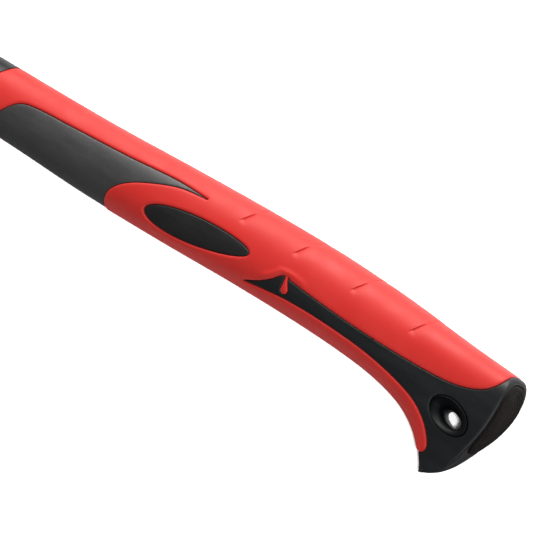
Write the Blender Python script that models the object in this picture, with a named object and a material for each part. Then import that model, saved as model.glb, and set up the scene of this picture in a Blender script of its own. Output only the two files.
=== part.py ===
"""A claw hammer with a glass-fibre cored, two-colour moulded handle, lying on its side.

Design axes: +X runs down the handle from the head to the butt, -Y is the striking side and +Z is
the left side. Design X is 0 at the middle of the head's eye, and design Y and Z are 0 on the rod's
axis. stand_on_origin() then moves the hammer so that its origin is under the middle of its
bounding box. Lengths are in millimetres until they reach a mesh.
"""

import math

import bmesh
import bpy
from mathutils import Vector

MM = 0.001
GAP = 0.3  # clearance between neighbouring solids

# Head
HEAD_HALF_HEIGHT = 13.5  # half the eye block's height along the handle
CHEEK_HALF_WIDTH = 12.5  # half the distance between the flat cheeks
HEAD_AROUND = 32
POLL_STATIONS = (  # y, half height, half width, squareness of the section
    (-54.0, 12.4, 12.4, 2.0),
    (-52.4, 14.0, 14.0, 2.0),
    (-44.5, 14.0, 14.0, 2.0),
    (-41.5, 13.0, 13.0, 2.0),
    (-37.5, 10.9, 10.9, 2.0),
    (-32.0, 10.0, 10.0, 2.1),
    (-25.0, 10.4, 10.6, 2.4),
    (-20.5, 11.6, 12.2, 3.0),
    (-17.0, 13.5, 13.6, 4.5),
    (-9.0, 13.5, 13.8, 6.0),
    (9.0, 13.5, 13.8, 6.0),
)
CLAW_ROOT = (-2.0, 17.0)
CLAW_BEND_RADIUS = 72.0
CLAW_SWEEP = math.radians(56)
CLAW_STEPS = 8
CLAW_HALF_HEIGHTS = (11.5, 1.3)  # at the root and at the tips
CLAW_HALF_WIDTHS = (12.5, 14.0)
CLAW_SQUARENESS = 5.0
CLAW_THINNING = 1.5  # above 1, the claws lose most of their height near the root
SLOT_START = 33.0
SLOT_END = 113.0
SLOT_HALF_WIDTHS = (1.6, 6.2)  # at its start and its end
SLOT_NOSE_STEPS = 6

# Eye and rod: half sizes along Y and Z
EYE_HALF_TOP = (12.0, 8.6)
EYE_HALF_BOTTOM = (11.0, 7.6)
ROD_HALF = (9.0, 6.0)
ROD_END = 288.0
ROD_SQUARENESS = 3.0
ROD_AROUND = 20

# Handle. Each station is a cross-section: its back point, its front point, half its thickness,
# how much of that moves from the front edge to the back edge, and its squareness.
HANDLE_STATIONS = (
    ((HEAD_HALF_HEIGHT + GAP, 13.4), (HEAD_HALF_HEIGHT + GAP, -13.2), 10.6, 0.00, 2.25),
    ((36.0, 14.9), (36.0, -14.2), 10.9, 0.00, 2.25),
    ((73.0, 14.9), (73.0, -15.1), 11.1, 0.00, 2.25),
    ((110.0, 15.1), (110.0, -16.5), 11.8, 0.00, 2.25),
    ((150.0, 16.3), (150.0, -16.6), 12.8, 0.00, 2.25),
    ((190.0, 17.1), (190.0, -16.0), 13.2, 0.02, 2.25),
    ((222.0, 17.0), (222.0, -16.2), 13.3, 0.03, 2.25),
    ((248.0, 15.9), (246.0, -17.2), 13.2, 0.06, 2.25),
    ((267.0, 14.5), (263.0, -19.0), 12.8, 0.12, 2.3),
    ((283.0, 12.8), (277.0, -22.4), 12.0, 0.24, 2.45),
    ((296.0, 11.6), (286.5, -27.2), 11.0, 0.43, 2.7),
    ((307.0, 10.8), (293.5, -33.4), 9.9, 0.68, 3.0),
    ((317.0, 10.0), (299.6, -41.6), 8.8, 0.93, 3.4),
)
FAN_START = 7  # the last station that is straight across; the ones after it bow outwards
END_BOW = 8.1  # how far the end face bows out from its chord
BOW_POWERS = (2.0, 4.2)  # how blunt the bow is towards the heel and towards the toe
STEPS_PER_SPAN = 2
AROUND = 24

SKIN = 2.0  # depth from the handle's surface to the sleeve's inner face
PANEL_DROP = 0.4  # how far the neck panel lies below the sleeve
PAD_DROP = 0.5
LAND_DROP = 0.3
CAP_START = 272.0  # where the core jacket meets the butt cap

# Outlines seen from the left side, as (x, y)
SLEEVE_EDGE = (
    (57.5, 22.0),
    (55.0, 14.0),
    (51.6, 7.5),
    (48.2, 0.0),
    (45.2, -8.0),
    (43.2, -16.0),
    (42.6, -22.0),
)
PANEL_UPPER = (
    (60.4, -22.0),
    (60.4, -10.0),
    (63.4, -3.8),
    (69.4, 2.3),
    (78.0, 4.2),
    (95.0, 5.1),
    (125.0, 6.6),
    (150.0, 8.5),
    (166.4, 8.4),
)
PANEL_LOWER = (
    (166.4, 7.4),
    (155.0, 6.4),
    (144.5, 3.0),
    (133.4, -2.2),
    (126.8, -7.6),
    (124.2, -13.0),
    (124.0, -22.0),
)
PAD_MIDDLE = (169.5, -5.7)
PAD_HALF = (26.0, 5.8)
PAD_TILT = math.radians(7.2)
PAD_POINTS = 28
LAND_NOSE = ((197.8, -12.2), (204.0, -9.3), (208.8, -6.0), (211.8, -3.3), (216.6, -3.2))
LAND_UPPER = (
    (216.6, -3.2),
    (229.0, -4.3),
    (250.0, -5.8),
    (276.0, -6.2),
    (296.0, -5.2),
    (308.0, -1.6),
    (313.8, 4.0),
    (315.4, 11.0),
    (315.4, 24.0),
)
LAND_LOWER = (
    (286.0, -36.0),
    (293.8, -33.7),
    (298.4, -32.8),
    (299.2, -29.0),
    (292.6, -22.0),
    (282.0, -16.8),
    (262.0, -12.7),
    (240.0, -11.0),
    (218.0, -10.9),
    (197.8, -13.2),
)
BEYOND_BUTT = ((340.0, 24.0), (340.0, -60.0), (286.0, -60.0))

# Grooves in the back of the sleeve: where each starts on the side, and where it reaches the back
GROOVES = (
    ((183.4, 7.4), (190.5, 16.0)),
    ((210.6, 6.6), (219.4, 17.2)),
    ((239.8, 5.8), (248.6, 16.4)),
    ((269.6, 3.6), (278.0, 13.8)),
)
GROOVE_DEPTH = 0.5
GROOVE_HALF_WIDTHS = (0.15, 1.3)  # where it starts, and beyond the back

# Butt
HOLE_MIDDLE = (301.2, -16.6)
HOLE_HALF = (6.6, 3.4)
HOLE_TILT = math.radians(-14)
HOLE_POINTS = 24
EYELET_WALL = 2.8
EYELET_DROP = 0.1
PLATE_RANGE = (0.33, 0.65)  # middle and half range along the end face's chord, before its margin
PLATE_MARGIN = 2.0
PLATE_DEPTH = 2.2
PLATE_PROUD = 0.5
PLATE_SQUARENESS = 3.5

CUT_HALF_DEPTH = 30.0  # half the depth of a cutter that goes right through the handle
FAR = 400.0

MATERIALS = {  # colour, roughness, metallic
    "soft_red": ((0.78, 0.045, 0.05), 0.5, 0.0),
    "soft_black": ((0.035, 0.036, 0.038), 0.5, 0.0),
    "hard_black": ((0.02, 0.021, 0.022), 0.4, 0.0),
    "glass_fibre": ((0.75, 0.68, 0.42), 0.45, 0.0),
    "resin": ((0.05, 0.045, 0.04), 0.3, 0.0),
    "head_steel": ((0.55, 0.56, 0.58), 0.35, 1.0),
}


# Curves


def smooth_rows(rows, steps):
    """Rows of numbers on a smooth curve through the given rows, with steps rows to each span."""
    last = len(rows) - 1
    slopes = []
    for i in range(len(rows)):
        low, high = max(i - 1, 0), min(i + 1, last)
        slopes.append([(b - a) / (high - low) for a, b in zip(rows[low], rows[high])])
    result = []
    for i in range(last):
        for k in range(steps):
            t = k / steps
            weights = (2 * t**3 - 3 * t**2 + 1, t**3 - 2 * t**2 + t, 3 * t**2 - 2 * t**3, t**3 - t**2)
            values = zip(rows[i], slopes[i], rows[i + 1], slopes[i + 1])
            result.append([sum(w * part for w, part in zip(weights, value)) for value in values])
    result.append(list(rows[-1]))
    return result


def superellipse(count, power):
    """Points round a unit superellipse, as (v, w). A power of 2 is a circle, a high one a square."""
    points = []
    for k in range(count):
        c, s = math.cos(2 * math.pi * k / count), math.sin(2 * math.pi * k / count)
        points.append((math.copysign(abs(c) ** (2 / power), c), math.copysign(abs(s) ** (2 / power), s)))
    return points


def oval(middle, half, tilt, count):
    """Points round a tilted ellipse, as (x, y)."""
    points = []
    for v, w in superellipse(count, 2.0):
        along, across = half[0] * v, half[1] * w
        x = middle[0] + along * math.cos(tilt) - across * math.sin(tilt)
        y = middle[1] + along * math.sin(tilt) + across * math.cos(tilt)
        points.append((x, y))
    return points


def grown(outline, amount):
    """The closed outline with each side pushed out by amount, or in where it is negative."""
    points = [Vector(point) for point in outline]
    normals = []
    turning = 0.0
    for here, after in zip(points, points[1:] + points[:1]):
        along = (after - here).normalized()
        normals.append(Vector((along.y, -along.x)))
        turning += here.x * after.y - after.x * here.y
    outward = math.copysign(amount, amount * turning)
    result = []
    for i, point in enumerate(points):
        before, after = normals[i - 1], normals[i]
        result.append(tuple(point + (before + after) * outward / (1 + before.dot(after))))
    return result


# Meshes


def new_object(name, bm, material):
    """A solid from bm, riding on the hammer's empty. One without a material is only a cutter."""
    bmesh.ops.triangulate(bm, faces=bm.faces)
    bmesh.ops.recalc_face_normals(bm, faces=bm.faces)
    mesh = bpy.data.meshes.new(name)
    bm.to_mesh(mesh)
    bm.free()
    obj = bpy.data.objects.new(name, mesh)
    bpy.context.scene.collection.objects.link(obj)
    obj.parent = bpy.data.objects["hammer"]
    if material:
        mesh.materials.append(bpy.data.materials[material])
        mesh.shade_smooth()
        mesh.set_sharp_from_angle(angle=math.radians(40))
    else:
        obj.hide_render = True
        obj.display_type = "WIRE"
    return obj


def close_across(bm, loop):
    """Closes a loop that is the same on both sides of the mid-plane, with strips straight across."""
    half = len(loop) // 2
    for k in range(half):
        bm.faces.new(dict.fromkeys((loop[k], loop[k + 1], loop[-k - 1], loop[-k])))


def loft(name, rings, material=None):
    """A solid through rings of points."""
    bm = bmesh.new()
    loops = []
    for ring in rings:
        verts = [bm.verts.new(Vector(point) * MM) for point in ring]
        edges = [bm.edges.new(pair) for pair in zip(verts, verts[1:] + verts[:1])]
        loops.append((verts, edges))
    for (_, near), (_, far) in zip(loops, loops[1:]):
        bmesh.ops.bridge_loops(bm, edges=near + far)
    close_across(bm, loops[0][0])
    close_across(bm, loops[-1][0])
    return new_object(name, bm, material)


def prism(name, corners, along):
    """A cutter: the flat outline through the corners, extruded by the vector along."""
    bm = bmesh.new()
    face = bm.faces.new([bm.verts.new(Vector(corner) * MM) for corner in corners])
    made = bmesh.ops.extrude_face_region(bm, geom=[face])["geom"]
    moved = [item for item in made if isinstance(item, bmesh.types.BMVert)]
    bmesh.ops.translate(bm, verts=moved, vec=Vector(along) * MM)
    return new_object(name, bm, None)


def side_prism(name, outline, low=-CUT_HALF_DEPTH, high=CUT_HALF_DEPTH):
    """A cutter: an outline seen from the side, taken through the handle from low to high."""
    return prism(name, [(x, y, low) for x, y in outline], (0.0, 0.0, high - low))


def slab(name, start, end):
    """A cutter that takes the whole handle between two planes across it."""
    return side_prism(name, ((start, -FAR), (end, -FAR), (end, FAR), (start, FAR)))


def combine(obj, operation, *others):
    """Cuts obj by the others, joins them to it or keeps what they share, by Boolean modifiers."""
    for other in others:
        modifier = obj.modifiers.new(f"{operation.lower()}_{other.name}", "BOOLEAN")
        modifier.operation = operation
        modifier.solver = "EXACT"
        modifier.object = other
    return obj


# Handle


def handle_rows():
    """The handle's cross-sections, each with how far it bows outwards."""
    stations = [[*back, *front, *rest] for back, front, *rest in HANDLE_STATIONS]
    rows = smooth_rows(stations, STEPS_PER_SPAN)
    straight = FAN_START * STEPS_PER_SPAN
    last = len(rows) - 1
    return [[*row, END_BOW * (max(0, i - straight) / (last - straight)) ** 1.5] for i, row in enumerate(rows)]


def on_section(row, v, inset=0.0):
    """The point at v of a section's bowed mid-line, from -1 in front to 1 at the back."""
    back, front = Vector(row[0:2]), Vector(row[2:4])
    chord = (back - front).normalized()
    outward = Vector((chord.y, -chord.x))
    reach = (back - front).length / 2 - inset
    bow = row[7] * (1 - abs(v) ** BOW_POWERS[v < 0])
    return (back + front) / 2 + chord * v * reach + outward * bow


def half_thickness(row, v):
    """Half a section's thickness at v, before its edges are rounded."""
    return row[4] * (1 + row[5] * v)


def handle_rings(inset, first=0, last=None):
    """Rings of the handle's surface, drawn in by inset, between two of its cross-sections."""
    rings = []
    for row in handle_rows()[first:last]:
        ring = []
        for v, w in superellipse(AROUND, row[6]):
            ring.append((*on_section(row, v, inset), w * max(half_thickness(row, v) - inset, 0.1)))
        rings.append(ring)
    return rings


def envelope(name, inset, material=None, first=0, last=None):
    """The handle as one solid, drawn in by inset."""
    return loft(name, handle_rings(inset, first, last), material)


def oval_ring(x, half):
    """A ring across the handle at x, of the rod's shape and the given half sizes."""
    return [(x, v * half[0], w * half[1]) for v, w in superellipse(ROD_AROUND, ROD_SQUARENESS)]


def padded(half, amount):
    return [size + amount for size in half]


def neck_outline():
    """The side outline of what the sleeve leaves bare below the head."""
    return [(0.0, 22.0), *smooth_rows(SLEEVE_EDGE, 2), (0.0, -22.0)]


def panel_outline():
    return smooth_rows(PANEL_UPPER, 2) + smooth_rows(PANEL_LOWER, 2)


def pad_outline(margin=0.0):
    return oval(PAD_MIDDLE, padded(PAD_HALF, -margin), PAD_TILT, PAD_POINTS)


def land_outline():
    """The side outline of the black butt, with the wedge that runs forward from it."""
    nose = smooth_rows(LAND_NOSE, 2)
    return nose[:-1] + smooth_rows(LAND_UPPER, 2) + list(BEYOND_BUTT) + smooth_rows(LAND_LOWER, 2)


def build_rod():
    top = -HEAD_HALF_HEIGHT + GAP
    loft("core_rod", [oval_ring(top, ROD_HALF), oval_ring(ROD_END, ROD_HALF)], "glass_fibre")


def build_core_jacket(channel):
    """Hard black moulding round the rod: the bare neck, and the seat under the sleeve."""
    seat = envelope("jacket_seat", SKIN + GAP, first=STEPS_PER_SPAN)
    combine(seat, "DIFFERENCE", slab("behind_jacket", CAP_START, FAR))
    jacket = envelope("core_jacket", 0.0, "hard_black")
    combine(jacket, "INTERSECT", side_prism("neck_region", neck_outline()))
    combine(jacket, "UNION", seat)
    combine(jacket, "DIFFERENCE", channel)


def build_grooves():
    """Cutters for the shallow slanted grooves that wrap round the back of the sleeve."""
    floor = envelope("groove_floor", GROOVE_DEPTH)
    strips = []
    for i, (start, end) in enumerate(GROOVES):
        start, end = Vector(start), Vector(end)
        along = (end - start).normalized()
        across = Vector((-along.y, along.x))
        end += along * SKIN * 2
        near, far = across * GROOVE_HALF_WIDTHS[0], across * GROOVE_HALF_WIDTHS[1]
        strip = side_prism(f"groove_{i + 1}", (start - near, end - far, end + far, start + near))
        strips.append(combine(strip, "DIFFERENCE", floor))
    return strips


def build_sleeve(bore):
    """Soft red sleeve, with windows for the neck panel, the thumb pads and the butt's wedges."""
    cutters = [
        side_prism("sleeve_front", grown(neck_outline(), GAP)),
        side_prism("land_window", land_outline()),
        side_prism("panel_window", panel_outline()),
        side_prism("pad_window", pad_outline()),
        bore,
        *build_grooves(),
    ]
    combine(envelope("grip_sleeve", 0.0, "soft_red"), "DIFFERENCE", *cutters)


def build_neck_panel(bore):
    """Soft black panel in the neck's front, ending in a point on each side."""
    panel = envelope("neck_panel", PANEL_DROP, "soft_black")
    combine(panel, "INTERSECT", side_prism("panel_region", grown(panel_outline(), -GAP)))
    combine(panel, "DIFFERENCE", bore)


def build_thumb_pads(bore):
    """A lens-shaped pad in the sleeve's window on each side."""
    for side, low, high in (("left", SKIN, CUT_HALF_DEPTH), ("right", -CUT_HALF_DEPTH, -SKIN)):
        pad = envelope(f"thumb_pad_{side}", PAD_DROP, "soft_black")
        combine(pad, "INTERSECT", side_prism(f"pad_region_{side}", pad_outline(GAP), low, high))
        combine(pad, "DIFFERENCE", bore)


def plate_rings(margin, depth, proud):
    """Rings round the end face's panel, at a depth inside it and standing proud of it."""
    end = handle_rows()[-1]
    back, front = on_section(end, 1.0), on_section(end, -1.0)
    chord = (back - front).normalized()
    outward = Vector((chord.y, -chord.x))
    middle, half_range = PLATE_RANGE
    half_range -= margin / ((back - front).length / 2)
    rings = []
    for shift in (-depth, proud):
        ring = []
        for c, s in superellipse(AROUND, PLATE_SQUARENESS):
            v = middle + half_range * c
            rounding = (1 - abs(v) ** end[6]) ** (1 / end[6])
            width = half_thickness(end, v) * rounding - margin
            ring.append((*(on_section(end, v) + outward * shift), s * width))
        rings.append(ring)
    return rings


def build_butt_cap(channel, eyelet_bore):
    """Hard black butt: a body round the rod's end, and a wedge that runs forward on each side."""
    under = envelope("land_underside", SKIN)
    combine(under, "DIFFERENCE", slab("behind_lands", CAP_START + GAP, FAR))
    fan = FAN_START * STEPS_PER_SPAN
    body = envelope("cap_body", SKIN + GAP, first=fan, last=-1)
    combine(body, "DIFFERENCE", slab("before_cap", 0.0, CAP_START + GAP))
    cap = envelope("butt_cap", LAND_DROP, "hard_black")
    combine(cap, "INTERSECT", side_prism("land_region", grown(land_outline(), -GAP)))
    combine(cap, "DIFFERENCE", under)
    combine(cap, "UNION", body)
    pocket = loft("plate_pocket", plate_rings(PLATE_MARGIN, PLATE_DEPTH, PLATE_DEPTH))
    combine(cap, "DIFFERENCE", channel, pocket, eyelet_bore)


def build_butt_plate():
    """Plate let into a pocket in the end face."""
    rings = plate_rings(PLATE_MARGIN + GAP, PLATE_DEPTH - GAP, PLATE_PROUD)
    loft("butt_plate", rings, "soft_black")


def build_eyelet(outer):
    """Bush that lines the lanyard hole."""
    eyelet = envelope("lanyard_eyelet", EYELET_DROP, "hard_black")
    hole = oval(HOLE_MIDDLE, HOLE_HALF, HOLE_TILT, HOLE_POINTS)
    combine(eyelet, "INTERSECT", side_prism("eyelet_region", outer))
    combine(eyelet, "DIFFERENCE", side_prism("lanyard_hole", hole))


def build_handle():
    top, bottom = -HEAD_HALF_HEIGHT * 2, ROD_END + GAP
    half = padded(ROD_HALF, GAP)
    channel = loft("rod_channel", [oval_ring(top, half), oval_ring(bottom, half)])
    bore = envelope("sleeve_bore", SKIN)
    outer = oval(HOLE_MIDDLE, padded(HOLE_HALF, EYELET_WALL), HOLE_TILT, HOLE_POINTS)
    build_rod()
    build_core_jacket(channel)
    build_sleeve(bore)
    build_neck_panel(bore)
    build_thumb_pads(bore)
    build_butt_cap(channel, side_prism("eyelet_bore", grown(outer, GAP)))
    build_butt_plate()
    build_eyelet(outer)
    return channel


# Head


def poll_rings():
    """Rings from the striking face, along the poll's neck, to the back of the eye block."""
    rings = []
    for y, half_height, half_width, power in POLL_STATIONS:
        flat = half_width if power < 4 else CHEEK_HALF_WIDTH
        ring = []
        for u, w in superellipse(HEAD_AROUND, power):
            ring.append((-u * half_height, y, max(-flat, min(flat, w * half_width))))
        rings.append(ring)
    return rings


def claw_rings():
    """Rings along the claws, which bend towards the handle and thin out to their tips."""
    centre = Vector((CLAW_ROOT[0] + CLAW_BEND_RADIUS, CLAW_ROOT[1]))
    rings = []
    for i in range(CLAW_STEPS + 1):
        t = i / CLAW_STEPS
        across = Vector((-math.cos(t * CLAW_SWEEP), math.sin(t * CLAW_SWEEP)))
        thick, thin = CLAW_HALF_HEIGHTS
        height = thin + (thick - thin) * (1 - t) ** CLAW_THINNING
        narrow, wide = CLAW_HALF_WIDTHS
        width = narrow + (wide - narrow) * t
        ring = []
        for u, w in superellipse(HEAD_AROUND, CLAW_SQUARENESS):
            ring.append((*(centre + across * (CLAW_BEND_RADIUS + u * height)), w * width))
        rings.append(ring)
    return rings


def slot_corners():
    """Outline of the nail slot between the claws, round where it starts, seen along the handle."""
    near, far = SLOT_HALF_WIDTHS
    corners = [(SLOT_END, far), (SLOT_END, -far)]
    for i in range(SLOT_NOSE_STEPS + 1):
        angle = math.pi * i / SLOT_NOSE_STEPS
        corners.append((SLOT_START - near * math.sin(angle), -near * math.cos(angle)))
    return [(-CUT_HALF_DEPTH, y, z) for y, z in corners]


def eye_half(x, margin=0.0):
    """The eye's half sizes at x, drawn in by margin; it tapers towards the handle."""
    t = (x + HEAD_HALF_HEIGHT) / (2 * HEAD_HALF_HEIGHT)
    return [top + (bottom - top) * t - margin for top, bottom in zip(EYE_HALF_TOP, EYE_HALF_BOTTOM)]


def build_head():
    """Forged head: round face, neck, eye block with flat cheeks, and a split claw."""
    head = loft("hammer_head", poll_rings() + claw_rings(), "head_steel")
    ends = (-HEAD_HALF_HEIGHT - 2.0, HEAD_HALF_HEIGHT + 2.0)
    eye = loft("eye_cut", [oval_ring(x, eye_half(x)) for x in ends])
    slot = prism("slot_cut", slot_corners(), (CUT_HALF_DEPTH * 4, 0.0, 0.0))
    combine(head, "DIFFERENCE", eye, slot)


def build_eye_resin(channel):
    """Resin cast round the rod in the eye."""
    ends = (-HEAD_HALF_HEIGHT + GAP, HEAD_HALF_HEIGHT - GAP)
    resin = loft("eye_resin", [oval_ring(x, eye_half(x, GAP)) for x in ends], "resin")
    combine(resin, "DIFFERENCE", channel)


# Scene


def clear_scene():
    for obj in list(bpy.data.objects):
        bpy.data.objects.remove(obj, do_unlink=True)


def make_materials():
    for name, (colour, roughness, metallic) in MATERIALS.items():
        material = bpy.data.materials.new(name)
        material.use_nodes = True
        shader = material.node_tree.nodes["Principled BSDF"]
        shader.inputs["Base Color"].default_value = (*colour, 1.0)
        shader.inputs["Roughness"].default_value = roughness
        shader.inputs["Metallic"].default_value = metallic


def stand_on_origin(hammer):
    """Moves the hammer so that the origin is under the middle of its bounding box."""
    bpy.context.view_layer.update()
    graph = bpy.context.evaluated_depsgraph_get()
    points = []
    for obj in bpy.context.scene.objects:
        if obj.type == "MESH" and not obj.hide_render:
            shown = obj.evaluated_get(graph)
            points += [vert.co.copy() for vert in shown.data.vertices]
    low = [min(point[axis] for point in points) for axis in range(3)]
    high = [max(point[axis] for point in points) for axis in range(3)]
    hammer.location = (-(low[0] + high[0]) / 2, -(low[1] + high[1]) / 2, -low[2])


def main():
    clear_scene()
    make_materials()
    hammer = bpy.data.objects.new("hammer", None)
    bpy.context.scene.collection.objects.link(hammer)
    channel = build_handle()
    build_head()
    build_eye_resin(channel)
    stand_on_origin(hammer)


main()
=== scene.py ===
"""Finishes a claw hammer with a two-colour moulded handle for a studio still.

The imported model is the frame. The handle's skin is lofted once as a fine blank, and the sleeve, the
neck panel, the thumb pads and the butt cap are cut out of it along their seams, with rounded lips.
Shapes are worked out in millimetres on the handle's own axes: X from the middle of the head's eye
down the handle, Y towards the claws and Z out of the left side. place() puts them in the frame.
"""

import functools
import math

import bmesh
import bpy
import numpy as np
from mathutils import Matrix, Vector
from mathutils.bvhtree import BVHTree


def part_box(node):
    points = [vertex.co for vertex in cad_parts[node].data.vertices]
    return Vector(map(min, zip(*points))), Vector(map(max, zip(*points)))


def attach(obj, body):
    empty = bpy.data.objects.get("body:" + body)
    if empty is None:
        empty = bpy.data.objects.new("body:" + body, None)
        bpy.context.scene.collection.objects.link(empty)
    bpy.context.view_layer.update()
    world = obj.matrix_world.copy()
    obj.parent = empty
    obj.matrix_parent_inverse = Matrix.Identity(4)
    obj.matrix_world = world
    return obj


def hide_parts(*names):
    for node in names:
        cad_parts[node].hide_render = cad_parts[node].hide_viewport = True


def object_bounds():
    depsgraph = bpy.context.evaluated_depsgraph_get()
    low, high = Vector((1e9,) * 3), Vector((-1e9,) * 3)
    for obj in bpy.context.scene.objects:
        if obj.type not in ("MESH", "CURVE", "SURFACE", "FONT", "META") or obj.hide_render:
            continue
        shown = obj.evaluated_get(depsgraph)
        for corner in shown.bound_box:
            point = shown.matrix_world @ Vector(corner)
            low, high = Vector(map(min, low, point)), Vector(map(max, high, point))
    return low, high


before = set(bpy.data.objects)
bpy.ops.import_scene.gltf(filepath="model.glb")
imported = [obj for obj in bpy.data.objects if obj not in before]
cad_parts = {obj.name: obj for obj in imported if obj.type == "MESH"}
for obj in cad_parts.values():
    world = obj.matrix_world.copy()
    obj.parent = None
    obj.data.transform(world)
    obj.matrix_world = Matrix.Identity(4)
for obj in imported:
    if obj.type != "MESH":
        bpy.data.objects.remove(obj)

bl_info = {
    "name": "Claw Hammer Finish",
    "version": (1, 0, 0),
    "blender": (4, 5, 0),
    "location": "3D View > Sidebar > Hammer",
    "description": "Finely modelled pieces and finishes for a claw hammer, and its studio",
    "category": "Object",
}

MM = 0.001
BODY = "root"
CAD_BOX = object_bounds()

# Head
HEAD_HALF_HEIGHT = 13.5
FACE_DISTANCE = 54.0
BELL_RADIUS = 14.0
SLOT_START = 33.0
SLOT_HALF_WIDTHS = (1.6, 6.2)
SLOT_RUN = 80.0
SLOT_NOSE_POINTS = 17
CLAW_ROOT = (-2.0, 17.0)
CLAW_BEND_RADIUS = 72.0
CLAW_SWEEP = math.radians(56)
CLAW_RINGS = 60
CLAW_SQUARENESS = 5.0
CLAW_TAPER = 1.5
TIP_NARROWING = 1.2
CLAW_HALF_HEIGHTS = (11.5, 1.3)
CLAW_HALF_WIDTHS = (12.5, 14.0)
EYE_HALF_TOP = (12.0, 8.6)
EYE_HALF_BOTTOM = (11.0, 7.6)
ROD_HALF = (9.0, 6.0)
ROD_END = 287.8
ROD_SQUARENESS = 3.0

# Handle: a cross-section's back point, front point, half thickness, how much of that moves from the
# front edge to the back edge, and squareness
HANDLE_STATIONS = (
    (13.8, 13.4, 13.8, -13.2, 10.6, 0.00, 2.25),
    (36.0, 14.9, 36.0, -14.2, 10.9, 0.00, 2.25),
    (73.0, 14.9, 73.0, -15.1, 11.1, 0.00, 2.25),
    (110.0, 15.1, 110.0, -16.5, 11.8, 0.00, 2.25),
    (150.0, 16.3, 150.0, -16.6, 12.8, 0.00, 2.25),
    (190.0, 17.1, 190.0, -16.0, 13.2, 0.02, 2.25),
    (222.0, 17.0, 222.0, -16.2, 13.3, 0.03, 2.25),
    (248.0, 15.9, 246.0, -17.2, 13.2, 0.06, 2.25),
    (267.0, 14.5, 263.0, -19.0, 12.8, 0.12, 2.3),
    (283.0, 12.8, 277.0, -22.4, 12.0, 0.24, 2.45),
    (296.0, 11.6, 286.5, -27.2, 11.0, 0.43, 2.7),
    (307.0, 10.8, 293.5, -33.4, 9.9, 0.68, 3.0),
    (317.0, 10.0, 299.6, -41.6, 8.8, 0.93, 3.4),
)
FAN_START = 7
END_BOW = 8.1
BOW_POWERS = (2.0, 4.2)
CAP_START = 272.0

# Seams, as outlines in the side view
SLEEVE_EDGE = (
    (57.5, 22.0), (55.0, 14.0), (51.6, 7.5), (48.2, 0.0), (45.2, -8.0),
    (43.2, -16.0), (42.6, -22.0),
)
PANEL_UPPER = (
    (60.4, -22.0), (60.4, -10.0), (63.4, -3.8), (69.4, 2.3), (78.0, 4.2),
    (95.0, 5.1), (125.0, 6.6), (150.0, 8.5), (166.6, 8.1),
)
PANEL_LOWER = (
    (166.6, 7.7), (155.0, 6.4), (144.5, 3.0), (133.4, -2.2), (126.8, -7.6),
    (124.2, -13.0), (124.0, -22.0),
)
PAD_MIDDLE = (169.5, -5.7)
PAD_HALF = (26.0, 5.8)
PAD_TILT = math.radians(7.2)
PAD_FULLNESS = 0.16
LAND_NOSE = ((197.0, -12.7), (203.6, -9.8), (208.6, -6.6), (212.2, -3.2), (215.4, -2.6))
LAND_UPPER = (
    (216.6, -3.2), (229.0, -4.4), (250.0, -5.8), (276.0, -6.2), (296.0, -5.2),
    (308.0, -1.6), (313.8, 4.0), (315.4, 11.0), (315.4, 24.0),
)
LAND_LOWER = (
    (286.0, -36.6), (293.8, -34.7), (296.9, -34.0), (297.4, -30.4), (291.4, -22.9),
    (281.4, -17.3), (262.0, -12.9), (240.0, -11.0), (218.0, -10.9), (197.0, -13.0),
)
NECK_END = ((0.0, 22.0), (0.0, -22.0))
BEYOND_BUTT = ((340.0, 24.0), (340.0, -60.0), (286.0, -60.0))
DROP_ENDS = ((215.7, -7.7), (214.5, -2.6))
DROP_RADII = (1.75, 0.6)
DROP_TAPER = 1.6
GROOVE_STARTS = ((184.2, 7.4), (211.6, 6.7), (241.0, 6.0), (271.0, 3.8))
GROOVE_RISE = (6.2, 10.2)
GROOVES = [((x, y), (x + GROOVE_RISE[0], y + GROOVE_RISE[1])) for x, y in GROOVE_STARTS]
HOLE_MIDDLE = (301.2, -16.6)
HOLE_RIM_HALF = (9.4, 6.2)
HOLE_BORE_HALF = (6.6, 3.5)
HOLE_TILT = math.radians(-14)
PLATE_RANGE = (0.33, 0.65)
PLATE_MARGIN = 2.0
PLATE_SQUARENESS = 3.5
PLATE_LEAST_SHARE = 0.25
RIM_LEAST_SHARE = 0.35

# Meshing, and the seams between neighbours
BLANK_AROUND = 120
BLANK_SPACING = 1.2
SEAM_STEPS = 6
PAD_POINTS = 72
HOLE_POINTS = 64
# Spots that are cut finer: middle, radius and cuts to an edge
FINE_SPOTS = (((212.0, -5.5), 8.5, 3), ((199.0, -12.0), 4.5, 2), ((165.5, 8.0), 5.0, 2))
LIP_STEPS = (0.0, 0.07, 0.25, 0.6, 1.0)
MERGE_DISTANCE = 1e-4
SNAP = 0.02
# Half the gap at a seam, in the side view
SEAM = 0.05
SEAM_REACH = 3.0
GROOVE_REACH = 9.0
RAY_START = 0.02
ROOM_REACH = 8.0
ROOM_SHARE = 0.42
SINK_SHARE = 0.6
# Skins: how far each is sunk, and the depth and width of its rounded lip
SLEEVE_SKIN = (0.0, 0.55, 1.2)
PANEL_SKIN = (0.4, 0.8, 0.5)
PAD_SKIN = (0.45, 0.8, 0.6)
CAP_SKIN = (0.32, 0.8, 0.5)
JACKET_DEPTH = 1.75
JACKET_END = CAP_START - 0.3
BARE_MARGIN = 0.01
CHANNEL_GROWTH = 0.3
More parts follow.
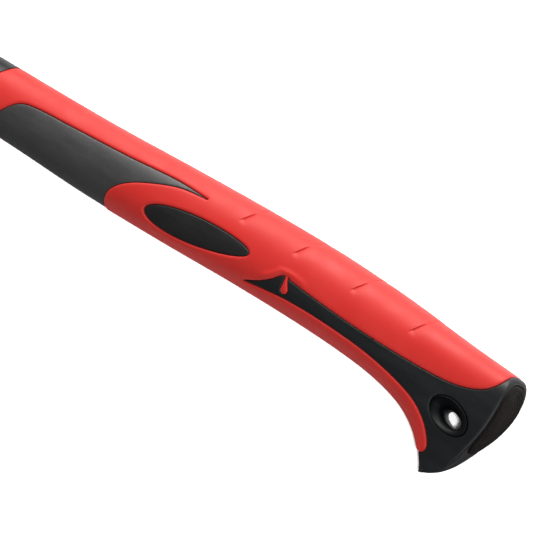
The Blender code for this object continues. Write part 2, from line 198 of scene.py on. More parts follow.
# Rings of the end face: inset or margin, and shift along the handle
END_ROUNDING = ((0.05, -0.85), (0.22, -0.45), (0.5, -0.15), (0.95, 0.0))
POCKET_LAND = 0.4
LAND_SHARES = (0.25, 0.5, 0.75, 1.0)
POCKET_ROUNDING = ((-0.15, -0.08), (-0.04, -0.3), (0.0, -1.2))
PLATE_ROUNDING = ((0.4, -1.1), (0.1, -0.9), (0.08, 0.1), (0.2, 0.3), (0.45, 0.43), (0.8, 0.48))
PLATE_LINES = ((1.5, 0.3), (3.0, 0.28), (4.6, 0.3))
PLATE_TOP = (6.5, 0.48)
LINE_WIDTH = 0.4
LINE_SIDE = 0.1
GROOVE_RUN = 4.5
GROOVE_LIP = (-0.3, 0.05)
GROOVE_FADE_IN = (-0.4, 1.4)
GROOVE_FADE_OUT = (3.5, 9.0)
GROOVE_FADE = 0.75
GROOVE_LINES = (-0.3, -0.12, 0.05, 0.7, 1.6, 2.9)
RIDGE_CREST = ((204.5, -7.0), (208.6, -4.0), (211.4, -1.3), (216.6, -0.9), (222.0, -1.8))
RIDGE_SPREAD = 1.1
TOE_EDGE = ((293.6, -33.5), (299.6, -41.5))
TOE_BAND = 2.3
TOE_STEP = 0.2
TOE_EDGE_WIDTH = 0.25
TOE_FADE = 1.5
# Bush: how much its oval is wider than the bore, the depth under the skin, and its share of the lean
EYELET_PROFILE = (
    (2.7, 1.9, 0.0), (2.7, 0.3, 0.0), (2.62, 0.06, 0.0), (2.45, -0.06, 0.0),
    (2.2, -0.02, 0.2), (1.9, 0.2, 0.5), (1.45, 0.6, 0.85), (0.95, 1.1, 1.0),
    (0.4, 1.7, 0.9), (-0.2, 2.4, 0.5), (-0.7, 3.2, 0.0), (-1.0, 4.2, -0.5),
    (-1.1, 7.5, -0.9),
)
EYELET_LEAN = (-1.1, 0.35)
EYELET_POINTS = 96
EYELET_RAY_START = 40.0
# Rod, and the resin round it
ROD_AROUND = 72
ROD_RINGS = 24
ROD_TOP = -13.2
ROD_TOP_ROUNDING = ((-0.45, 0.0), (-0.12, 0.1), (0.0, 0.45))
RESIN_GAP = 0.05
RESIN_TOP = 0.75
RESIN_WALL = 2.0
RESIN_FOOT = (0.3, -0.35)
RESIN_SAG = 0.72
RESIN_SHARES = np.linspace(0.08, 0.92, 8)

# Meshing of the head
HEAD_AROUND = 96
POLL_SPACING = 1.2
EYE_LIP = 1.0
EYE_LIP_DEPTH = 0.7
CUTTER_GROWTH = 0.02
CUTTER_OVERSHOOT = 2.0
CHEEK_SOFTNESS = 0.3
CUTTER_REACH = 60.0
# Bell: place and radius; then squareness and half distance between the flats
BELL_PROFILE = (
    (-53.98, 11.7), (-53.9, 12.15), (-53.7, 12.5), (-52.7, 13.5), (-52.3, 13.8),
    (-51.7, 13.95), (-44.6, 13.97), (-43.6, 13.7), (-41.5, 12.8), (-37.5, 10.9),
)
BELL_SHAPE = (2.0, 20.0)
# Rest of the poll: place, half height, half width, squareness, half distance between the flats
POLL_PROFILE = (
    (-32.0, 10.0, 10.0, 2.1, 20.0),
    (-25.0, 10.4, 10.6, 2.4, 18.0),
    (-20.5, 11.6, 12.2, 3.0, 15.0),
    (-17.0, 13.2, 13.5, 4.5, 12.75),
    (-14.5, 13.5, 13.8, 5.6, 12.75),
    (-9.0, 13.5, 13.8, 6.0, 12.75),
    (9.0, 13.5, 13.8, 6.0, 12.75),
)
CLAW_TIP = ((0.985, 1.0), (0.993, 0.92), (0.998, 0.7), (1.0, 0.4))

# Camera, floor and lights
VIEW_TURN = math.radians(24.0)
VIEW_ROLL = math.radians(31.0)
VIEW_DISTANCE = 1300.0
VIEW_TARGET = (207.0, -5.0, 0.0)
VIEW_LENS = 208.9
VIEW_SENSOR = 36.0
VIEW_CLIP = (0.05, 30.0)
FLOOR_HALF = 3.0
FLOOR_LIGHT_SPREAD = math.radians(4)
# Softboxes: size, place and tint
KEY_LIGHT = ((1.2, 0.6), (100.0, 760.0, 520.0), (1.0, 0.97, 0.92))
FILL_LIGHT = ((1.0, 1.0), (700.0, -450.0, 850.0), (1.0, 1.0, 1.0))
LIGHT_TARGET = (150.0, 0.0, 0.0)
BACK_LIGHT_RANGE = (-0.1, 0.8)


def design_origin():
    """Where the middle of the head's eye lies in the frame."""
    low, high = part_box("hammer_head")
    return Vector((low.x + BELL_RADIUS * MM, low.y + FACE_DISTANCE * MM, (low.z + high.z) / 2))


ORIGIN = design_origin()


# Curves


def hermite(a, b, p, q, t):
    """From a with slope p to b with slope q, as t runs from 0 to 1."""
    return (
        a * (2 * t**3 - 3 * t**2 + 1)
        + p * (t**3 - 2 * t**2 + t)
        + b * (3 * t**2 - 2 * t**3)
        + q * (t**3 - t**2)
    )


def along_curve(rows, steps=SEAM_STEPS):
    """Rows on a smooth curve through the given rows, with steps rows to each span."""
    rows = np.array(rows, float)
    slopes = np.gradient(rows, axis=0)
    t = np.arange(steps)[:, None] / steps
    spans = [hermite(*ends, t) for ends in zip(rows, rows[1:], slopes, slopes[1:])]
    return np.vstack([*spans, rows[-1:]])


def evenly(rows, spacing):
    """The rows taken afresh so that neighbours lie about the same distance apart."""
    steps = np.linalg.norm(np.diff(rows[:, :2], axis=0), axis=1)
    length = np.concatenate([[0.0], np.cumsum(steps)])
    places = np.linspace(0.0, length[-1], max(2, round(length[-1] / spacing)) + 1)
    return np.column_stack([np.interp(places, length, column) for column in rows.T])


def rounded(count, power, tall, wide):
    """Points evenly spaced round a superellipse, as arrays that run from -1 to 1 each way."""
    angle = np.linspace(0.0, 2 * np.pi, count * 12 + 1)
    c, s = np.cos(angle), np.sin(angle)
    v, w = np.sign(c) * np.abs(c) ** (2 / power), np.sign(s) * np.abs(s) ** (2 / power)
    steps = np.hypot(np.diff(v) * tall, np.diff(w) * wide)
    length = np.concatenate([[0.0], np.cumsum(steps)])
    places = np.arange(count) * length[-1] / count
    return np.interp(places, length, v), np.interp(places, length, w)


def oval(middle, half, tilt, count, fullness=0.0):
    """Points round a tilted oval, fuller at its near end where fullness is above 0."""
    v, w = rounded(count, 2.0, *half)
    along, across = half[0] * v, half[1] * w * (1 - fullness * v)
    x = middle[0] + along * math.cos(tilt) - across * math.sin(tilt)
    y = middle[1] + along * math.sin(tilt) + across * math.cos(tilt)
    return np.column_stack([x, y])


def smoothstep(low, high, values):
    """0 at low and 1 at high, with a soft start and end; low may be the larger."""
    t = np.clip((values - low) / (high - low), 0.0, 1.0)
    return t * t * (3 - 2 * t)


# Handle sections


def handle_rows():
    """The handle's cross-sections, evenly spaced, each with how far it bows outwards."""
    fine = 24
    rows = along_curve(HANDLE_STATIONS, fine)
    straight = FAN_START * fine
    lean = np.clip(np.arange(len(rows)) - straight, 0, None) / (len(rows) - 1 - straight)
    return evenly(np.column_stack([rows, END_BOW * lean**1.5]), BLANK_SPACING)


def half_span(row):
    return np.linalg.norm(row[0:2] - row[2:4]) / 2


def on_section(row, v, shift=0.0):
    """Points at v of a section's bowed mid-line, as x and y, moved out along the handle by shift."""
    back, front = row[0:2], row[2:4]
    chord = (back - front) / np.linalg.norm(back - front)
    outward = np.array([chord[1], -chord[0]])
    bow = row[7] * np.where(v < 0, 1 - np.abs(v) ** BOW_POWERS[1], 1 - np.abs(v) ** BOW_POWERS[0])
    return (back + front) / 2 + (back - front) / 2 * v[:, None] + outward * (bow + shift)[:, None]


def half_thickness(row, v):
    return row[4] * (1 + row[5] * v)


def rim_outline(row, inset):
    """A cross-section's outline drawn in by inset: how far along the chord, and the height there."""
    v, w = rounded(BLANK_AROUND, row[6], half_span(row), row[4])
    v = v * (1 - inset / half_span(row))
    thickness = half_thickness(row, v)
    return v, w * np.maximum(thickness - inset, RIM_LEAST_SHARE * thickness)


def plate_outline(row, margin):
    """The end plate's outline drawn in by margin, given as rim_outline gives the section's."""
    half_range = PLATE_RANGE[1] - margin / half_span(row)
    c, s = rounded(BLANK_AROUND, PLATE_SQUARENESS, half_range * half_span(row), row[4])
    v = PLATE_RANGE[0] + half_range * c
    width = half_thickness(row, v) * (1 - np.abs(v) ** row[6]) ** (1 / row[6])
    return v, s * np.maximum(width - margin, PLATE_LEAST_SHARE * width)


def facing(outline, rim, span):
    """The plate's outline with its points in the same directions from its middle as the rim's."""
    middle = PLATE_RANGE[0]
    across, along = outline[1], (outline[0] - middle) * span
    wanted = np.arctan2(rim[1], (rim[0] - middle) * span)
    reach = np.interp(wanted, np.arctan2(across, along), np.hypot(across, along), period=2 * np.pi)
    return middle + reach * np.cos(wanted) / span, reach * np.sin(wanted)


def section_ring(row, outline, shift=0.0):
    """A ring of points on a section, from an outline of places on the chord and heights."""
    v, z = outline
    return np.column_stack([on_section(row, v, shift), z])


def folded(ring):
    """The ring pressed flat onto the mid-plane, which closes an end once doubles are merged."""
    return ring * (1.0, 1.0, 0.0)


# Seams, as signed distances in the side view


def inside(points, outline):
    """How far points are inside a closed outline; negative outside it."""
    a = np.asarray(outline, float)
    side = np.roll(a, -1, axis=0) - a
    b = a + side
    from_a = points[:, None] - a
    t = np.clip((from_a * side).sum(-1) / np.maximum((side * side).sum(-1), 1e-12), 0.0, 1.0)
    distance = np.sqrt(((from_a - side * t[..., None]) ** 2).sum(-1).min(1))
    x, y = points[:, :1], points[:, 1:]
    rise = np.where(side[:, 1] == 0, 1e-12, side[:, 1])
    crossed = ((a[:, 1] > y) != (b[:, 1] > y)) & (x < side[:, 0] * (y - a[:, 1]) / rise + a[:, 0])
    return np.where(crossed.sum(1) % 2 == 1, distance, -distance)


def in_neck(points):
    """The bare neck, in front of the sleeve."""
    return inside(points[:, :2], [NECK_END[0], *along_curve(SLEEVE_EDGE), NECK_END[1]])


def in_panel(points):
    return inside(points[:, :2], [*along_curve(PANEL_UPPER), *along_curve(PANEL_LOWER)])


def in_pad(points):
    return inside(points[:, :2], oval(PAD_MIDDLE, PAD_HALF, PAD_TILT, PAD_POINTS, PAD_FULLNESS))


def in_drop(points):
    """The small drop of the sleeve that hangs into the wedge."""
    top, bottom = np.array(DROP_ENDS[1]), np.array(DROP_ENDS[0])
    line = top - bottom
    t = np.clip((points[:, :2] - bottom) @ line / (line @ line), 0.0, 1.0)
    radius = DROP_RADII[1] + (DROP_RADII[0] - DROP_RADII[1]) * (1 - t) ** DROP_TAPER
    return radius - np.linalg.norm(points[:, :2] - bottom - line * t[:, None], axis=1)


def in_land(points):
    """The hard black butt, with the wedge that runs forward from it."""
    wedge = [*along_curve(LAND_NOSE), *along_curve(LAND_UPPER)]
    outline = [*wedge, *BEYOND_BUTT, *along_curve(LAND_LOWER)]
    return np.minimum(inside(points[:, :2], outline), -in_drop(points))


def in_sleeve(points):
    return -np.maximum.reduce([in_neck(points), in_panel(points), in_pad(points), in_land(points)])


def in_hole(points):
    return inside(points[:, :2], oval(HOLE_MIDDLE, HOLE_RIM_HALF, HOLE_TILT, HOLE_POINTS))


def in_cap(points):
    return np.minimum(in_land(points), -in_hole(points))


def rounding(distance, depth, width):
    """How far a skin dips where it rounds over at its seam."""
    u = np.clip(1 - distance / width, 0.0, 1.0)
    return depth * (1 - np.sqrt(1 - u * u))


def beyond_line(points, ends):
    """How far points are to the right of a line, seen from its start, and how far along it."""
    start, end = np.array(ends[0]), np.array(ends[1])
    line = (end - start) / np.linalg.norm(end - start)
    from_start = points[:, :2] - start
    return from_start @ np.array([line[1], -line[0]]), from_start @ line


def sleeve_relief(points):
    """Depth of the slanted grooves in the sleeve's back, less the soft ridge over the wedge's nose."""
    shape = bpy.context.scene.hammer_shape
    depth = np.zeros(len(points))
    for groove in GROOVES:
        beyond, along = beyond_line(points, groove)
        fade = smoothstep(*GROOVE_FADE_IN, along) * (1 - GROOVE_FADE * smoothstep(*GROOVE_FADE_OUT, along))
        step = smoothstep(*GROOVE_LIP, beyond) * np.clip(1 - beyond / GROOVE_RUN, 0, 1) ** 2
        depth = np.maximum(depth, shape.groove_depth / MM * fade * step)
    crest = along_curve(RIDGE_CREST)
    gap = np.linalg.norm(points[:, None, :2] - crest, axis=2).min(1)
    return depth - shape.ridge_height / MM * np.exp(-((gap / RIDGE_SPREAD) ** 2))


def toe_relief(points):
    """Depth of the narrow step along the toe's front edge."""
    across, along = beyond_line(points, TOE_EDGE)
    band = smoothstep(TOE_EDGE_WIDTH, 0.0, np.abs(across) - TOE_BAND)
    return TOE_STEP * band * smoothstep(0.0, TOE_FADE, along)


# Meshes


def wrapped(rings, closed=False):
    """A bmesh through rings of points, from a grid whose two long sides are merged."""
    rings = np.asarray(rings, float)
    if closed:
        rings = np.concatenate([rings, rings[:1]])
    count, around = rings.shape[:2]
    bm = bmesh.new()
    bmesh.ops.create_grid(bm, x_segments=around, y_segments=count - 1, size=1.0)
    points = np.concatenate([rings, rings[:, :1]], axis=1).reshape(-1, 3)
    for vert, point in zip(bm.verts, points):
        vert.co = point
    bmesh.ops.remove_doubles(bm, verts=bm.verts, dist=MERGE_DISTANCE)
    bmesh.ops.recalc_face_normals(bm, faces=bm.faces)
    return bm


def closed_loft(rings):
    """A solid through the rings, whose two ends are closed."""
    return wrapped([folded(rings[0]), *rings, folded(rings[-1])])


def points_of(verts):
    return np.array([vert.co[:] for vert in verts]).reshape(-1, 3)


def remember(bm):
    """Gives each vertex its outward normal, how far in there is room, and a layer for its place."""
    bm.verts.layers.float_vector.new("place")
    out = bm.verts.layers.float_vector.new("out")
    room = bm.verts.layers.float.new("room")
    bm.normal_update()
    tree = BVHTree.FromBMesh(bm)
    for vert in bm.verts:
        vert[out] = vert.normal
        hit = tree.ray_cast(vert.co - vert.normal * RAY_START, -vert.normal, ROOM_REACH)[3]
        vert[room] = ROOM_SHARE * (hit if hit else ROOM_REACH)


def cut_along(bm, field, levels, faces=None):
    """Cuts the faces along the curves where field(points) has the given values.

    Each vertex is lifted to its value, the mesh is cut level, and every vertex goes back to its place.
    """
    place = bm.verts.layers.float_vector["place"]
    chosen = set(faces) if faces is not None else None
    for level in levels:
        verts = list({vert for face in chosen for vert in face.verts}) if chosen else list(bm.verts)
        heights = field(points_of(verts))
        for vert in bm.verts:
            vert[place] = vert.co
        for vert, height in zip(verts, heights):
            vert.co.z = height
        if chosen:
            edges = {edge for face in chosen for edge in face.edges}
            geom = [*verts, *edges, *chosen]
        else:
            geom = [*bm.verts, *bm.edges, *bm.faces]
        cut = bmesh.ops.bisect_plane(bm, geom=geom, dist=SNAP, plane_co=(0, 0, level), plane_no=(0, 0, 1))
        if chosen:
            chosen = {item for item in cut["geom"] if isinstance(item, bmesh.types.BMFace)}
        for vert in bm.verts:
            vert.co = vert[place]


def keep_where(bm, field, level):
    """Deletes the faces where field(points) is below level."""
    values = field(points_of(bm.verts)) - level
    bm.verts.index_update()
    gone = [face for face in bm.faces if sum(values[vert.index] for vert in face.verts) < 0]
    bmesh.ops.delete(bm, geom=gone, context="FACES")


def sink(bm, depths):
    """Moves each vertex in along the blank's normal by its depth, as far as there is room."""
    out = bm.verts.layers.float_vector["out"]
    room = bm.verts.layers.float["room"]
    for vert, depth in zip(bm.verts, depths):
        step = min(float(depth), SINK_SHARE * vert[room])
        vert.co -= vert[out] * step
        vert[room] -= step


def give_wall(bm, thickness):
    """Makes the skin a closed solid, by extruding it inwards as far as there is room."""
    out = bm.verts.layers.float_vector["out"]
    room = bm.verts.layers.float["room"]
    made = bmesh.ops.extrude_face_region(bm, geom=list(bm.faces), use_keep_orig=True)["geom"]
    for item in made:
        if isinstance(item, bmesh.types.BMVert):
            item.co -= item[out] * min(thickness, item[room])
    bmesh.ops.recalc_face_normals(bm, faces=bm.faces)


def add_object(name, data):
    """A new object with the data, in the scene."""
    made = bpy.data.objects.new(name, data)
    bpy.context.scene.collection.objects.link(made)
    return made


def carve(bm, *cutters):
    """The mesh with the closed cutters taken away from it."""
    parts = []
    for part in (bm, *cutters):
        mesh = bpy.data.meshes.new("carving")
        part.to_mesh(mesh)
        part.free()
        parts.append(add_object("carving", mesh))
    for cutter in parts[1:]:
        cut = parts[0].modifiers.new("cut", "BOOLEAN")
        cut.operation = "DIFFERENCE"
        cut.solver = "MANIFOLD"
        cut.object = cutter
    graph = bpy.context.evaluated_depsgraph_get()
    carved = bpy.data.meshes.new_from_object(parts[0].evaluated_get(graph))
    result = bmesh.new()
    result.from_mesh(carved)
    meshes = [part.data for part in parts]
    for part in parts:
        bpy.data.objects.remove(part)
    for mesh in (*meshes, carved):
        bpy.data.meshes.remove(mesh)
    bmesh.ops.recalc_face_normals(result, faces=result.faces)
    return result


def place(name, bm, material, slot, *nodes, smooth_angle=40.0):
    """A finished object from bm, put in the frame, riding on the body and standing for CAD nodes."""
    for layers in (bm.verts.layers.float_vector, bm.verts.layers.float):
        for layer_name in layers.keys():
            layers.remove(layers[layer_name])
    bmesh.ops.transform(bm, matrix=Matrix.Translation(ORIGIN) @ Matrix.Scale(MM, 4), verts=bm.verts)
    mesh = bpy.data.meshes.new(name)
    bm.to_mesh(mesh)
    bm.free()
    mesh.materials.append(material)
    mesh.shade_smooth()
    mesh.set_sharp_from_angle(angle=math.radians(smooth_angle))
    piece = add_object(name, mesh)
    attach(piece, BODY)
    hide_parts(*nodes)
    return piece


# Handle pieces


@functools.cache
def blank():
    """The handle's whole skin as a fine mesh, with a pocket for the plate in its end."""
    rows = handle_rows()
    end = rows[-1]
    rings = [section_ring(row, rim_outline(row, 0.0)) for row in rows[:-1]]
    for inset, shift in END_ROUNDING:
        rings.append(section_ring(end, rim_outline(end, inset), shift))
    rim = rim_outline(end, END_ROUNDING[-1][0])
    pocket = facing(plate_outline(end, PLATE_MARGIN - POCKET_LAND), rim, half_span(end))
    for share in LAND_SHARES:
        between = [a + (b - a) * share for a, b in zip(rim, pocket)]
        rings.append(section_ring(end, between))
    for margin, shift in POCKET_ROUNDING:
        outline = facing(plate_outline(end, PLATE_MARGIN + margin), rim, half_span(end))
        rings.append(section_ring(end, outline, shift))
    bm = closed_loft(rings)
    for middle, radius, cuts in FINE_SPOTS:
        near = {vert for vert in bm.verts if (vert.co.xy - Vector(middle)).length < radius}
        edges = [edge for edge in bm.edges if near.issuperset(edge.verts)]
        bmesh.ops.subdivide_edges(bm, edges=edges, cuts=cuts, use_grid_fill=True, smooth=1.0)
    remember(bm)
    return bm


def cut_skin(field, skin, relief=None, grooves=()):
    """A skin piece cut from the blank inside a seam, sunk and with a rounded lip as skin says."""
    drop, depth, width = skin
    bm = blank().copy()
    keep_where(bm, field, SEAM - SEAM_REACH)
    cut_along(bm, field, [SEAM + width * step for step in LIP_STEPS])
    keep_where(bm, field, SEAM)
    for groove in grooves:
        middle = (Vector(groove[0]) + Vector(groove[1])) / 2
        faces = [face for face in bm.faces if (face.calc_center_median().xy - middle).length < GROOVE_REACH]
        cut_along(bm, lambda points: beyond_line(points, groove)[0], GROOVE_LINES, faces)
    points = points_of(bm.verts)
    depths = drop + rounding(field(points) - SEAM, depth, width)
    if relief:
        depths += relief(points)
    sink(bm, depths)
    give_wall(bm, bpy.context.scene.hammer_shape.wall / MM)
    return bm


def rod_ring(x, amount=0.0):
    """A ring round the rod at x, grown by amount."""
    v, w = rounded(ROD_AROUND, ROD_SQUARENESS, *ROD_HALF)
    half = [size + amount for size in ROD_HALF]
    return np.column_stack([np.full(ROD_AROUND, x), v * half[0], w * half[1]])


def eye_ring(x, amount=0.0):
    """A ring round the eye at x, grown by amount; the eye tapers towards the handle."""
    t = (x + HEAD_HALF_HEIGHT) / (2 * HEAD_HALF_HEIGHT)
    half = [top + (bottom - top) * t + amount for top, bottom in zip(EYE_HALF_TOP, EYE_HALF_BOTTOM)]
    v, w = rounded(ROD_AROUND, ROD_SQUARENESS, *half)
    return np.column_stack([np.full(ROD_AROUND, x), v * half[0], w * half[1]])


def make_jacket(material):
    """Hard core moulding: bare at the neck, and sunk under the sleeve from there on."""
    bm = blank().copy()
    cut_along(bm, in_neck, [SEAM * step for step in (-1, 0, 1)])
    bare = in_neck(points_of(bm.verts)) > -BARE_MARGIN
    sink(bm, np.where(bare, 0.0, JACKET_DEPTH))
    geom = [*bm.verts, *bm.edges, *bm.faces]
    end = (JACKET_END, 0, 0)
    bmesh.ops.bisect_plane(bm, geom=geom, plane_co=end, plane_no=(1, 0, 0), clear_outer=True)
    rim = [edge for edge in bm.edges if edge.is_boundary]
    bmesh.ops.contextual_create(bm, geom=rim)
    channel = closed_loft([rod_ring(x, CHANNEL_GROWTH) for x in (0.0, ROD_END + CUTTER_OVERSHOOT)])
    return place("core_jacket_shell", carve(bm, channel), material, "hard_black", "core_jacket")


def make_eyelet(material):
    """Bush of the lanyard hole: a rim on each side that slopes down to a narrow waist."""
    tree = BVHTree.FromBMesh(blank())
    rings = []
    for side, profile in ((1.0, EYELET_PROFILE), (-1.0, reversed(EYELET_PROFILE))):
        for grow, depth, lean in profile:
            middle = [at + lean * move for at, move in zip(HOLE_MIDDLE, EYELET_LEAN)]
            half = [size + grow for size in HOLE_BORE_HALF]
            ring = []
            for x, y in oval(middle, half, HOLE_TILT, EYELET_POINTS):
                start = Vector((x, y, EYELET_RAY_START * side))
                hit = tree.ray_cast(start, Vector((0.0, 0.0, -side)))[0]
                ring.append((x, y, hit.z - side * depth))
            rings.append(ring)
    bm = wrapped(rings, closed=True)
    return place("lanyard_bush", bm, material, "hard_black", "lanyard_eyelet", smooth_angle=60.0)


def make_plate(material):
    """Plate in the end face, softly rounded, with fine lines that follow its rim."""
    end = handle_rows()[-1]
    profile = [*PLATE_ROUNDING]
    high = PLATE_TOP[1]
    for near, low in PLATE_LINES:
        far = near + LINE_WIDTH
        profile.extend([(near, high), (near + LINE_SIDE, low), (far - LINE_SIDE, low), (far, high)])
    profile.append(PLATE_TOP)
    outlines = [(plate_outline(end, PLATE_MARGIN + margin), shift) for margin, shift in profile]
    bm = closed_loft([section_ring(end, outline, shift) for outline, shift in outlines])
    return place("butt_end_plate", bm, material, "soft_black", "butt_plate")


def make_rod(material):
    """Glass-fibre rod, softened at the end that shows in the eye."""
    top = [rod_ring(ROD_TOP + rise, shrink) for shrink, rise in ROD_TOP_ROUNDING]
    bottom = [rod_ring(x) for x in np.linspace(0.0, ROD_END, ROD_RINGS)]
    bm = closed_loft([*top, *bottom])
    return place("glass_core_rod", bm, material, "glass_fibre", "core_rod", smooth_angle=50.0)


def make_resin(material):
    """Resin between the rod and the eye, which creeps up both walls."""
    top, bottom = -HEAD_HALF_HEIGHT + RESIN_TOP, HEAD_HALF_HEIGHT - RESIN_FOOT[0]
    below = RESIN_WALL - RESIN_TOP
    outer, inner = eye_ring(top, -RESIN_GAP), rod_ring(top, RESIN_GAP)
    rings = [eye_ring(bottom, RESIN_FOOT[1]), eye_ring(top + below, -RESIN_GAP), outer]
    for share in RESIN_SHARES:
        ring = outer * (1 - share) + inner * share
        ring[:, 0] = top + RESIN_SAG * (1 - (2 * share - 1) ** 2) ** 0.5
        rings.append(ring)
    rings.extend([inner, rod_ring(top + below, RESIN_GAP), rod_ring(bottom, RESIN_GAP)])
    bm = wrapped(rings, closed=True)
    return place("eye_resin_fill", bm, material, "resin", "eye_resin", smooth_angle=60.0)


# Head


def poll_rows():
    """The head's sections from the striking face to the back of the eye block."""
    bell = [(y, radius, radius, *BELL_SHAPE) for y, radius in BELL_PROFILE]
    rows = np.array([*bell, *POLL_PROFILE], float)
    steps = np.diff(rows, axis=0) / np.diff(rows[:, :1], axis=0)
    slopes = np.zeros_like(rows)
    same = steps[1:] * steps[:-1] > 0
    sums = np.where(same, steps[1:] + steps[:-1], 1.0)
    slopes[1:-1] = np.where(same, 2 * steps[1:] * steps[:-1] / sums, 0.0)
    result = []
    for a, b, p, q in zip(rows, rows[1:], slopes, slopes[1:]):
        run = b[0] - a[0]
        count = max(1, round(run / POLL_SPACING))
        for step in range(count):
            row = hermite(a, b, p * run, q * run, step / count)
            row[0] = a[0] + run * step / count
            result.append(row)
    return [*result, rows[-1]]


def head_rings():
    """Rings along the whole head, from the middle of the face to the claws' tips."""
    rings = []
    for y, half_height, half_width, power, flat in poll_rows():
        u, w = rounded(HEAD_AROUND, power, half_height, half_width)
        z = w * half_width
        z = np.sign(z) * (flat - CHEEK_SOFTNESS * np.log1p(np.exp((flat - np.abs(z)) / CHEEK_SOFTNESS)))
        z = np.where(np.abs(w) < 1e-6, 0.0, z)
        rings.append(np.column_stack([-u * half_height, np.full(HEAD_AROUND, y), z]))
    centre = np.array([CLAW_ROOT[0] + CLAW_BEND_RADIUS, CLAW_ROOT[1]])
    for t, tip in [*[(step / CLAW_RINGS, 1.0) for step in range(CLAW_RINGS - 1)], *CLAW_TIP]:
        across = np.array([-math.cos(t * CLAW_SWEEP), math.sin(t * CLAW_SWEEP)])
        thick, thin = CLAW_HALF_HEIGHTS
        height = (thin + (thick - thin) * (1 - t) ** CLAW_TAPER) * tip
        narrow, wide = CLAW_HALF_WIDTHS
        width = (narrow + (wide - narrow) * t) - (1 - tip) * TIP_NARROWING
        u, w = rounded(HEAD_AROUND, CLAW_SQUARENESS, height, width)
        xy = centre + across * (CLAW_BEND_RADIUS + u * height)[:, None]
        rings.append(np.column_stack([xy, w * width]))
    return rings


def slot_outline(grow=0.0):
    """The nail slot between the claws, as y and z, with a round start."""
    near, far = SLOT_HALF_WIDTHS
    angles = np.linspace(-np.pi / 2, np.pi / 2, SLOT_NOSE_POINTS)
    nose = [(SLOT_START - (near + grow) * math.cos(a), (near + grow) * math.sin(a)) for a in angles]
    return [*nose, (SLOT_START + SLOT_RUN, far + grow), (SLOT_START + SLOT_RUN, -far - grow)]


def clear_of_openings(points):
    """How far points on the head are from the eye and the slot, seen along the handle."""
    over = points[:, 0] < 0
    top, bottom = eye_ring(-HEAD_HALF_HEIGHT), eye_ring(HEAD_HALF_HEIGHT)
    seen = points[:, 1:]
    eye = np.where(over, -inside(seen, top[:, 1:]), -inside(seen, bottom[:, 1:]))
    return np.minimum(eye, -inside(seen, slot_outline()))


def make_head(material):
    """Forged head: a chamfered face on a necked poll, an eye block, and a split curved claw."""
    bm = closed_loft(head_rings())
    remember(bm)
    cut_along(bm, clear_of_openings, [EYE_LIP * step for step in LIP_STEPS])
    points = points_of(bm.verts)
    sink(bm, rounding(clear_of_openings(points), EYE_LIP_DEPTH, EYE_LIP))
    reach = HEAD_HALF_HEIGHT + CUTTER_OVERSHOOT
    eye = closed_loft([eye_ring(x, CUTTER_GROWTH) for x in (-reach, reach)])
    outline = slot_outline(CUTTER_GROWTH)
    ends = (-CUTTER_REACH, CUTTER_REACH)
    slot = closed_loft([np.array([(x, y, z) for y, z in outline]) for x in ends])
    head = carve(bm, eye, slot)
    return place("forged_head", head, material, "head_steel", "hammer_head", smooth_angle=38.0)


# Finishes


def map_range(tree, value, *limits):
    """The value between the first two limits, turned smoothly into one between the last two."""
    ranged = tree.nodes.new("ShaderNodeMapRange")
    ranged.interpolation_type = "SMOOTHSTEP"
    for socket, limit in zip(("From Min", "From Max", "To Min", "To Max"), limits):
        ranged.inputs[socket].default_value = limit
    tree.links.new(value, ranged.inputs["Value"])
    return ranged.outputs["Result"]


